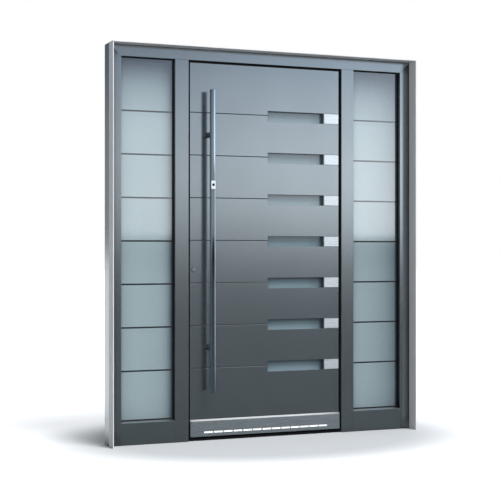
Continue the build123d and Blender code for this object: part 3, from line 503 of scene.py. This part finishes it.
def screws(name, body, points, settings, material, turn):
    """A plain mesh of screws at the given points, riding on a body."""
    places = bpy.data.meshes.new(name + "_points")
    places.from_pydata(points, [], [])
    carrier = bpy.data.objects.new(name + "_carrier", places)
    bpy.context.collection.objects.link(carrier)
    modifier = carrier.modifiers.new("Screws", "NODES")
    modifier.node_group = screw_tree(name + "_tree", settings, material, turn)
    evaluated = carrier.evaluated_get(bpy.context.evaluated_depsgraph_get())
    mesh = bpy.data.meshes.new_from_object(evaluated)
    mesh.name = name
    carrier.modifiers.remove(modifier)
    bpy.data.objects.remove(carrier)
    piece = bpy.data.objects.new(name, mesh)
    bpy.context.collection.objects.link(piece)
    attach(piece, body)


class DOOR_OT_dress_frame(bpy.types.Operator):
    """Paint the frame, surround and threshold"""
    bl_idname = "door.dress_frame"
    bl_label = "Dress Frame"

    def execute(self, context):
        look = context.scene.door_finishes
        # Frame, jamb and leaf paints carry painted shade in their grooves, and the jambs also carry a
        # painted shadow beside the surround
        dress(FRAME_BARS, metallic_paint("frame_paint_and_painted_shade", look.paint, look.paint_roughness, FRAME_EDGE))
        jamb = metallic_paint("jamb_paint_and_painted_shadow", look.paint, look.paint_roughness, FRAME_EDGE, look.corner_shade)
        dress(JAMBS, jamb)
        dress(SURROUND_BARS, matte_paint("surround_paint", look.surround, 0.5, SURROUND_EDGE))
        dress(("threshold",), soft_black("threshold_black", THRESHOLD_BLACK, 0.6))
        return {"FINISHED"}


class DOOR_OT_dress_glazing(bpy.types.Operator):
    """Finish the sidelights' panes, satin fields, gaskets and spacers"""
    bl_idname = "door.dress_glazing"
    bl_label = "Dress Glazing"

    def execute(self, context):
        look = context.scene.door_finishes
        # Painted shade on the satin fields near the reveals
        satin = satin_glass("satin_field", look.satin, gloss=1.0, reach=look.satin_shade, low=SATIN_PAINTED_SHADE,
                            start=0.42, end=0.86)
        dress(("satin_fields_left", "satin_fields_right"), satin)
        # The pane carries a near-black painted shade from outside and lit satin as painted light from
        # inside
        pane = lined_glass("lined_pane", look.satin_inside_painted_light, "outer_pane_left", "satin_fields_left")
        dress(("outer_pane_left", "outer_pane_right"), pane)
        dress(("inner_panes",), clear_glass("clear_pane", CLEAR_TINT))
        dress(("pane_gaskets", "leaf_seals"), soft_black("seal_rubber", SEAL_BLACK, 0.65))
        spacer = brushed_steel("spacer_metal", SPACER_GREY, 0.4, stretch=(20.0, 300.0, 300.0))
        dress(("pane_spacers",), spacer)
        return {"FINISHED"}


class DOOR_OT_dress_leaf(bpy.types.Operator):
    """Paint the leaf and finish its glass strips, inlays and core"""
    bl_idname = "door.dress_leaf"
    bl_label = "Dress Leaf"

    def execute(self, context):
        look = context.scene.door_finishes
        dress(LEAF_SKINS, metallic_paint("leaf_paint_and_painted_shade", look.paint, look.paint_roughness, LEAF_EDGE))
        # Painted shade on the slot glass near the slots' sides
        glass = satin_glass("slot_satin", look.slot, gloss=0.48, reach=look.slot_shade, low=SLOT_PAINTED_SHADE,
                            start=0.15, end=0.62)
        dress(SLOT_GLASS, glass)
        inlay = brushed_steel("inlay_steel", look.inlay, 0.28, stretch=(3.0, 900.0, 900.0), change=0.02,
                              metallic=0.8)
        dress(INLAYS, inlay)
        dress(("insulation_core",), foam("core_foam", CORE_FOAM))
        return {"FINISHED"}


class DOOR_OT_dress_fittings(bpy.types.Operator):
    """Finish the pull bar, kick plate, reader, lock and lever"""
    bl_idname = "door.dress_fittings"
    bl_label = "Dress Fittings"

    def execute(self, context):
        look = context.scene.door_finishes
        bar = brushed_steel("bar_steel", look.steel, 0.06, stretch=(700.0, 700.0, 5.0), change=0.025)
        dress(("pull_bar",), bar)
        reader = ringed_steel("reader_steel", look.inlay, 0.16, plate="finger_reader", eye="reader_window",
                              ring=look.eye_ring)
        dress(("finger_reader",), reader)
        fitting = brushed_steel("fitting_steel", look.steel, 0.26, stretch=(160.0, 1600.0, 1600.0),
                                change=0.012)
        dress(FITTINGS, fitting)
        kick = brushed_steel("kick_steel", look.kick, 0.28, stretch=(4.0, 900.0, 900.0), change=0.015)
        dress(("kick_plate",), kick)
        dress(("kick_light_strip",), opal("light_opal", OPAL_WHITE))
        dress(("reader_window",), soft_black("reader_black", READER_BLACK, 0.45))
        nickel = brushed_steel("nickel", NICKEL, 0.3, stretch=(900.0, 200.0, 900.0), change=0.02)
        dress(("lock_cylinder", "key_plug"), nickel)
        zinc = brushed_steel("zinc_steel", ZINC, 0.38, stretch=(900.0, 900.0, 60.0), change=0.03)
        dress(LOCK_METAL, zinc)
        return {"FINISHED"}


class DOOR_OT_add_screws(bpy.types.Operator):
    """Add the screws of the hinges, lock faceplate and strike plates"""
    bl_idname = "door.add_screws"
    bl_label = "Add Screws"

    def execute(self, context):
        sizes = context.scene.door_fasteners
        metal = brushed_steel("screw_steel", SCREW_STEEL, 0.32, stretch=(900.0, 900.0, 900.0), change=0.03)
        self.hold_hinges(sizes, metal)
        self.hold_faceplate(sizes, metal)
        self.hold_strikes(sizes, metal)
        return {"FINISHED"}

    def hold_hinges(self, sizes, metal):
        """Two columns of screws in each half of each hinge, counted from its free edge."""
        low, high = (Vector(corner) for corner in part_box("hinge_leaf_halves"))
        heights = (low.z + HINGE_HALF_HEIGHT, (low.z + high.z) / 2, high.z - HINGE_HALF_HEIGHT)
        for node, body, inward in (("hinge_leaf_halves", "leaf", 1), ("hinge_frame_halves", "frame", -1)):
            low, high = (Vector(corner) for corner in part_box(node))
            edge = low.x if inward > 0 else high.x
            face = low.y + HINGE_PLATE_THICKNESS
            points = [(edge + inward * inset, face, height + row)
                      for height in heights for inset in HINGE_SCREW_COLUMNS for row in HINGE_SCREW_ROWS]
            screws(f"{node}_screws", body, points, sizes, metal, (-math.pi / 2, 0.0, 0.0))

    def hold_faceplate(self, sizes, metal):
        """Screws near both ends of the lock's faceplate and further in."""
        low, high = (Vector(corner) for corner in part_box("lock_faceplate"))
        heights = [height for inset in FACEPLATE_SCREW_INSETS for height in (low.z + inset, high.z - inset)]
        points = [(low.x, (low.y + high.y) / 2, height) for height in heights]
        screws("faceplate_screws", "leaf", points, sizes, metal, (0.0, -math.pi / 2, 0.0))

    def hold_strikes(self, sizes, metal):
        """A screw just inside both ends of each strike plate."""
        low, high = (Vector(corner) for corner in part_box("strike_plates"))
        heights = self.plate_ends("strike_plates", STRIKE_SCREW_INSET)
        points = [(high.x, (low.y + high.y) / 2, height) for height in heights]
        screws("strike_screws", "frame", points, sizes, metal, (0.0, math.pi / 2, 0.0))

    def plate_ends(self, node, inset):
        """Heights just inside both ends of each plate in a node of several."""
        heights = sorted(corner.co.z for corner in NODES[node].data.vertices)
        ends = [heights[0] + inset, heights[-1] - inset]
        for below, above in zip(heights, heights[1:]):
            if above - below > STRIKE_LEAST_GAP:
                ends += [below - inset, above + inset]
        return ends


def floor_with_painted_shade(name, settings):
    """Pale grey under the door that turns to plain white further out, where a glow that only the camera,
    reflections and glass see is added, so that a painted shade stays round the door.
    """
    sheet = ShaderSheet(name).set(Specular_IOR_Level=0.0)
    sheet.colour(sheet.noise(scale=0.6), settings.floor, change=0.01)
    sheet.roughness(sheet.noise(scale=4.0), 0.8, 0.9)
    squeezed = sheet.add("ShaderNodeMapping", Vector=sheet.place, Scale=FLOOR_SQUEEZE).outputs["Vector"]
    gap = sheet.arrow_step("LENGTH", squeezed)["Value"]
    # A glow further out, seen only by the camera, reflections and glass, leaves a painted shade round the
    # door
    fade = sheet.span(gap, settings.floor_near, settings.floor_far, smooth=True)
    shine = sheet.ramp(fade, [(0.0, BLACK), (1.0, FLOOR_SHINE)])
    sheet.links.new(shine, sheet.shader.inputs["Emission Color"])
    sheet.links.new(sheet.seen(), sheet.shader.inputs["Emission Strength"])
    return sheet.material


def card_finish(name, base):
    """Dull dark card."""
    sheet = ShaderSheet(name)
    sheet.colour(sheet.noise(scale=1.5), base, change=0.08)
    return sheet.roughness(sheet.noise(scale=5.0), 0.85, 0.95).material


def glow(name):
    """A white surface that adds no light of its own to the door."""
    material = bpy.data.materials.new(name)
    material.use_nodes = True
    sheet = NodeSheet(material.node_tree)
    sheet.nodes.clear()
    light = sheet.add("ShaderNodeEmission", Strength=sheet.seen())
    sheet.add("ShaderNodeOutputMaterial", Surface=light.outputs["Emission"])
    return material


def stage_mesh(name, points, faces, material):
    """A plain mesh that belongs to the stage and not to the door."""
    mesh = bpy.data.meshes.new(name)
    mesh.from_pydata(points, [], faces)
    mesh.materials.append(material)
    item = bpy.data.objects.new(name, mesh)
    bpy.context.collection.objects.link(item)
    return item


def flat_sheet(name, corners, material):
    """A flat stage sheet between four corners."""
    return stage_mesh(name, corners, [(0, 1, 2, 3)], material)


def upright_card(name, feet, top, material):
    """A card that stands on the floor between two feet."""
    left, right = feet
    return flat_sheet(name, [(*left, 0.0), (*right, 0.0), (*right, top), (*left, top)], material)


class DOOR_OT_set_stage(bpy.types.Operator):
    """Lay the floor and backdrop, hang the lamps and place the camera"""
    bl_idname = "door.set_stage"
    bl_label = "Set Stage"

    def execute(self, context):
        settings = context.scene.door_stage
        self.lay_floor(settings)
        self.raise_ring()
        self.stand_cards()
        self.light_sky(context)
        self.hang_lamps(context, settings)
        self.place_camera(context, settings)
        context.scene.view_settings.view_transform = "Standard"
        return {"FINISHED"}

    def lay_floor(self, settings):
        """A wide floor under the door."""
        reach = FLOOR_REACH
        corners = [(-reach, -reach, 0), (reach, -reach, 0), (reach, reach, 0), (-reach, reach, 0)]
        flat_sheet("floor", corners, floor_with_painted_shade("studio_floor", settings))

    def raise_ring(self):
        """A white ring all around, behind whatever side the door is seen from."""
        turns = [2 * math.pi * step / RING_SIDES for step in range(RING_SIDES)]
        low = [(RING_RADIUS * math.cos(turn), RING_RADIUS * math.sin(turn), 0.0) for turn in turns]
        high = [(x, y, RING_HEIGHT) for x, y, _ in low]
        pairs = [(step, (step + 1) % RING_SIDES) for step in range(RING_SIDES)]
        faces = [(here, after, RING_SIDES + after, RING_SIDES + here) for here, after in pairs]
        ring = stage_mesh("backdrop", low + high, faces, glow("backdrop_white"))
        ring.visible_glossy = False
        ring.visible_diffuse = False
        ring.visible_shadow = False

    def stand_cards(self):
        """Dark cards that only reflections see, for the dark lower half of paint and steel."""
        grey = card_finish("dark_card_grey", CARD_GREY)
        reach, lift, right = FLOOR_REACH, LOW_CARD_LIFT, LOW_CARD_RIGHT
        far_right = right + reach * math.tan(math.radians(LOW_CARD_SLANT))
        corners = [(-reach, -reach, lift), (far_right, -reach, lift),
                   (right, 0.0, lift), (-reach, 0.0, lift)]
        cards = [flat_sheet("low_dark_card", corners, grey),
                 upright_card("far_dark_card", FAR_CARD_FEET, FAR_CARD_TOP, grey)]
        for number, turns in enumerate(SIDE_CARD_TURNS, 1):
            feet = [(SIDE_CARD_AWAY * math.sin(turn), -SIDE_CARD_AWAY * math.cos(turn))
                    for turn in map(math.radians, turns)]
            cards.append(upright_card(f"side_dark_card_{number}", feet, SIDE_CARD_TOP, grey))
        for card in cards:
            card.visible_camera = False
            card.visible_diffuse = False
            card.visible_shadow = False
            card.visible_transmission = False

    def light_sky(self, context):
        """A sky that is bright on the right, near the horizon and overhead."""
        world = bpy.data.worlds.new("studio_sky")
        context.scene.world = world
        world.use_nodes = True
        sky = NodeSheet(world.node_tree)
        toward = sky.nodes.new("ShaderNodeTexCoord").outputs["Generated"]
        rise = sky.span(sky.part(toward, "Z"), SKY_LOW, SKY_HIGH)
        across = sky.span(sky.part(toward, "X"), -1.0, 1.0)
        colours = [((height - SKY_LOW) / (SKY_HIGH - SKY_LOW), colour) for height, colour in SKY_COLOURS]
        strengths = [(place, (strength,) * 3) for place, strength in SKY_STRENGTHS]
        background = sky.nodes["Background"]
        sky.links.new(sky.ramp(rise, colours), background.inputs["Color"])
        sky.links.new(sky.ramp(across, strengths), background.inputs["Strength"])

    def hang_lamps(self, context, settings):
        """A soft key lamp from upper right and a weak one on the left."""
        key = bpy.data.lights.new("key_light", "SUN")
        key.energy = settings.key_strength
        key.angle = settings.key_spread
        self.hang(context, key, KEY_PLACE)
        fill = bpy.data.lights.new("fill_softbox", "AREA")
        fill.shape = "RECTANGLE"
        fill.size, fill.size_y = FILL_SIZE
        fill.energy = settings.fill_power
        self.hang(context, fill, FILL_PLACE)

    def hang(self, context, light, place):
        """Hang a lamp at a place, turned to the middle of the door."""
        lamp = bpy.data.objects.new(light.name, light)
        context.collection.objects.link(lamp)
        lamp.location = place
        lamp.rotation_euler = (Vector(LAMP_AIM) - lamp.location).to_track_quat("-Z", "Y").to_euler()
        lamp.visible_camera = False
        lamp.visible_glossy = False

    def place_camera(self, context, settings):
        """The camera that sees the door as the photo does."""
        lens = bpy.data.cameras.new("photo_camera")
        lens.lens = settings.lens
        lens.sensor_width = SENSOR_WIDTH
        lens.clip_end = CAMERA_REACH
        camera = bpy.data.objects.new("photo_camera", lens)
        context.collection.objects.link(camera)
        camera.location = settings.camera_place
        camera.rotation_euler = (math.pi / 2, 0.0, -settings.camera_turn)
        context.scene.camera = camera


class DOOR_PT_panel(bpy.types.Panel):
    """The door's steps in order"""
    bl_idname = "DOOR_PT_panel"
    bl_label = "Front Door Set"
    bl_space_type = "VIEW_3D"
    bl_region_type = "UI"
    bl_category = "Door"

    def draw(self, context):
        for operator in OPERATORS:
            self.layout.operator(operator.bl_idname)


SETTINGS = {"door_finishes": DoorFinishes, "door_fasteners": DoorFasteners, "door_stage": DoorStage}
OPERATORS = (DOOR_OT_dress_frame, DOOR_OT_dress_glazing, DOOR_OT_dress_leaf, DOOR_OT_dress_fittings,
             DOOR_OT_add_screws, DOOR_OT_set_stage)
CLASSES = (*SETTINGS.values(), *OPERATORS, DOOR_PT_panel)


def register():
    for item in CLASSES:
        bpy.utils.register_class(item)
    for name, group in SETTINGS.items():
        setattr(bpy.types.Scene, name, PointerProperty(type=group))


def unregister():
    for name in SETTINGS:
        delattr(bpy.types.Scene, name)
    for item in reversed(CLASSES):
        bpy.utils.unregister_class(item)


def main():
    register()
    bpy.ops.door.dress_frame()
    bpy.ops.door.dress_glazing()
    bpy.ops.door.dress_leaf()
    bpy.ops.door.dress_fittings()
    bpy.ops.door.add_screws()
    bpy.ops.door.set_stage()


if __name__ == "__main__":
    main()
